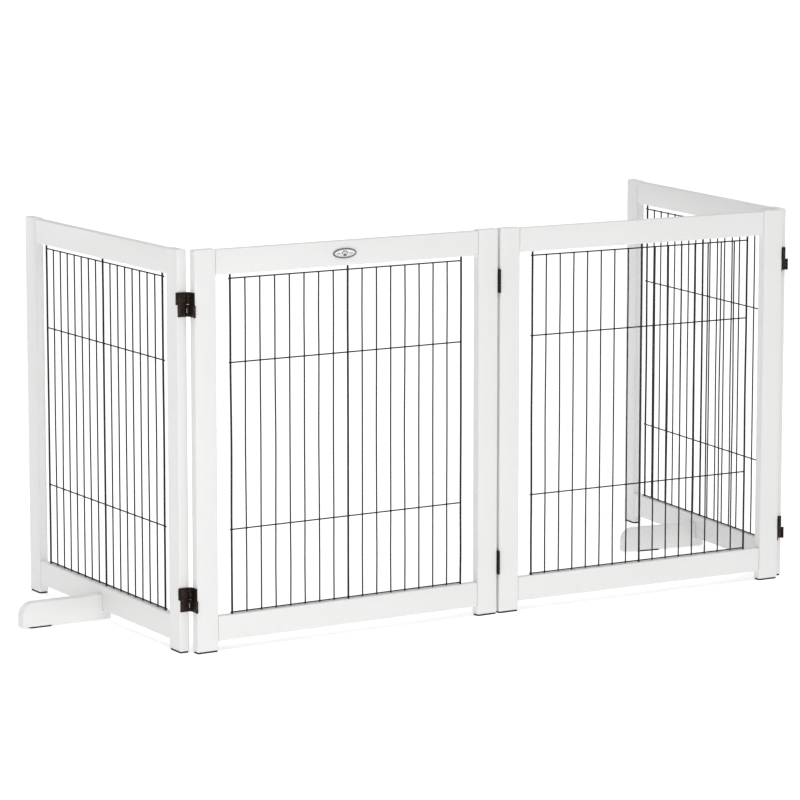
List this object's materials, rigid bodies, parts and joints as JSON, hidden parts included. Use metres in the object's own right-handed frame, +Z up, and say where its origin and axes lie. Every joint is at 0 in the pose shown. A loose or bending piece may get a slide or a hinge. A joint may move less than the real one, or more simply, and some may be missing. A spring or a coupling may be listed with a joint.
{
  "type": "pet gate",
  "caption": "Free-standing folding pet gate: white wooden frames with black wire grids, joined edge to edge by two-way hinges, with screw-on side feet.",
  "frame": {"origin": "middle of the gate's box, on the floor under the pads", "axes": "+Z up; +X along the front panels from panel 2 towards panel 3; -Y is the front, and the two wings fold back towards +Y"},
  "size_m": [1.3306, 0.582, 0.61],
  "materials": {
    "white_paint": "satin white paint over wood, edges softly rounded",
    "black_wire": "semi-gloss black powder coat on welded steel wire",
    "dark_bronze": "dark bronze plated steel, satin, brighter at the edges",
    "black_pad": "matt black rubber",
    "badge_metal": "brushed oval plate with a raised rim",
    "screw_steel": "zinc plated steel"
  },
  "bodies": {
    "panel_1": {"hinge_12_lower_left_leaf": "dark_bronze", "hinge_12_lower_top_link": "dark_bronze", "hinge_12_upper_left_leaf": "dark_bronze", "hinge_12_upper_top_link": "dark_bronze", "panel_1_bottom_rail": "white_paint", "panel_1_foot": "white_paint", "panel_1_foot_pad": "black_pad", "panel_1_foot_screw": "screw_steel", "panel_1_left_stile": "white_paint", "panel_1_left_stile_pad": "black_pad", "panel_1_right_stile": "white_paint", "panel_1_right_stile_pad": "black_pad", "panel_1_top_rail": "white_paint", "panel_1_wire_grid": "black_wire"},
    "panel_2": {"badge_plate": "badge_metal", "hinge_12_lower_bottom_link": "dark_bronze", "hinge_12_lower_right_leaf": "dark_bronze", "hinge_12_upper_bottom_link": "dark_bronze", "hinge_12_upper_right_leaf": "dark_bronze", "hinge_23_lower_bottom_link": "dark_bronze", "hinge_23_lower_left_leaf": "dark_bronze", "hinge_23_upper_bottom_link": "dark_bronze", "hinge_23_upper_left_leaf": "dark_bronze", "panel_2_bottom_rail": "white_paint", "panel_2_left_stile": "white_paint", "panel_2_left_stile_pad": "black_pad", "panel_2_right_stile": "white_paint", "panel_2_right_stile_pad": "black_pad", "panel_2_top_rail": "white_paint", "panel_2_wire_grid": "black_wire"},
    "panel_3": {"hinge_23_lower_right_leaf": "dark_bronze", "hinge_23_lower_top_link": "dark_bronze", "hinge_23_upper_right_leaf": "dark_bronze", "hinge_23_upper_top_link": "dark_bronze", "hinge_34_lower_left_leaf": "dark_bronze", "hinge_34_lower_top_link": "dark_bronze", "hinge_34_upper_left_leaf": "dark_bronze", "hinge_34_upper_top_link": "dark_bronze", "panel_3_bottom_rail": "white_paint", "panel_3_left_stile": "white_paint", "panel_3_left_stile_pad": "black_pad", "panel_3_right_stile": "white_paint", "panel_3_right_stile_pad": "black_pad", "panel_3_top_rail": "white_paint", "panel_3_wire_grid": "black_wire"},
    "panel_4": {"hinge_34_lower_bottom_link": "dark_bronze", "hinge_34_lower_right_leaf": "dark_bronze", "hinge_34_upper_bottom_link": "dark_bronze", "hinge_34_upper_right_leaf": "dark_bronze", "panel_4_bottom_rail": "white_paint", "panel_4_foot": "white_paint", "panel_4_foot_pad": "black_pad", "panel_4_foot_screw": "screw_steel", "panel_4_left_stile": "white_paint", "panel_4_left_stile_pad": "black_pad", "panel_4_right_stile": "white_paint", "panel_4_right_stile_pad": "black_pad", "panel_4_top_rail": "white_paint", "panel_4_wire_grid": "black_wire"}
  },
  "joints": [
    {"name": "fold_12", "type": "hinge", "parent": "panel_2", "child": "panel_1", "pos_m": [-0.52505, -0.25127, 0], "axis": [0, 0, 1], "range_deg": [-87.5, 92.5]},
    {"name": "fold_23", "type": "hinge", "parent": "panel_2", "child": "panel_3", "pos_m": [0.01915, -0.27007, 0], "axis": [0, 0, 1], "range_deg": [-163, 2]},
    {"name": "fold_34", "type": "hinge", "parent": "panel_3", "child": "panel_4", "pos_m": [0.56368, -0.27027, 0], "axis": [0, 0, 1], "range_deg": [-83, 62]}
  ]
}
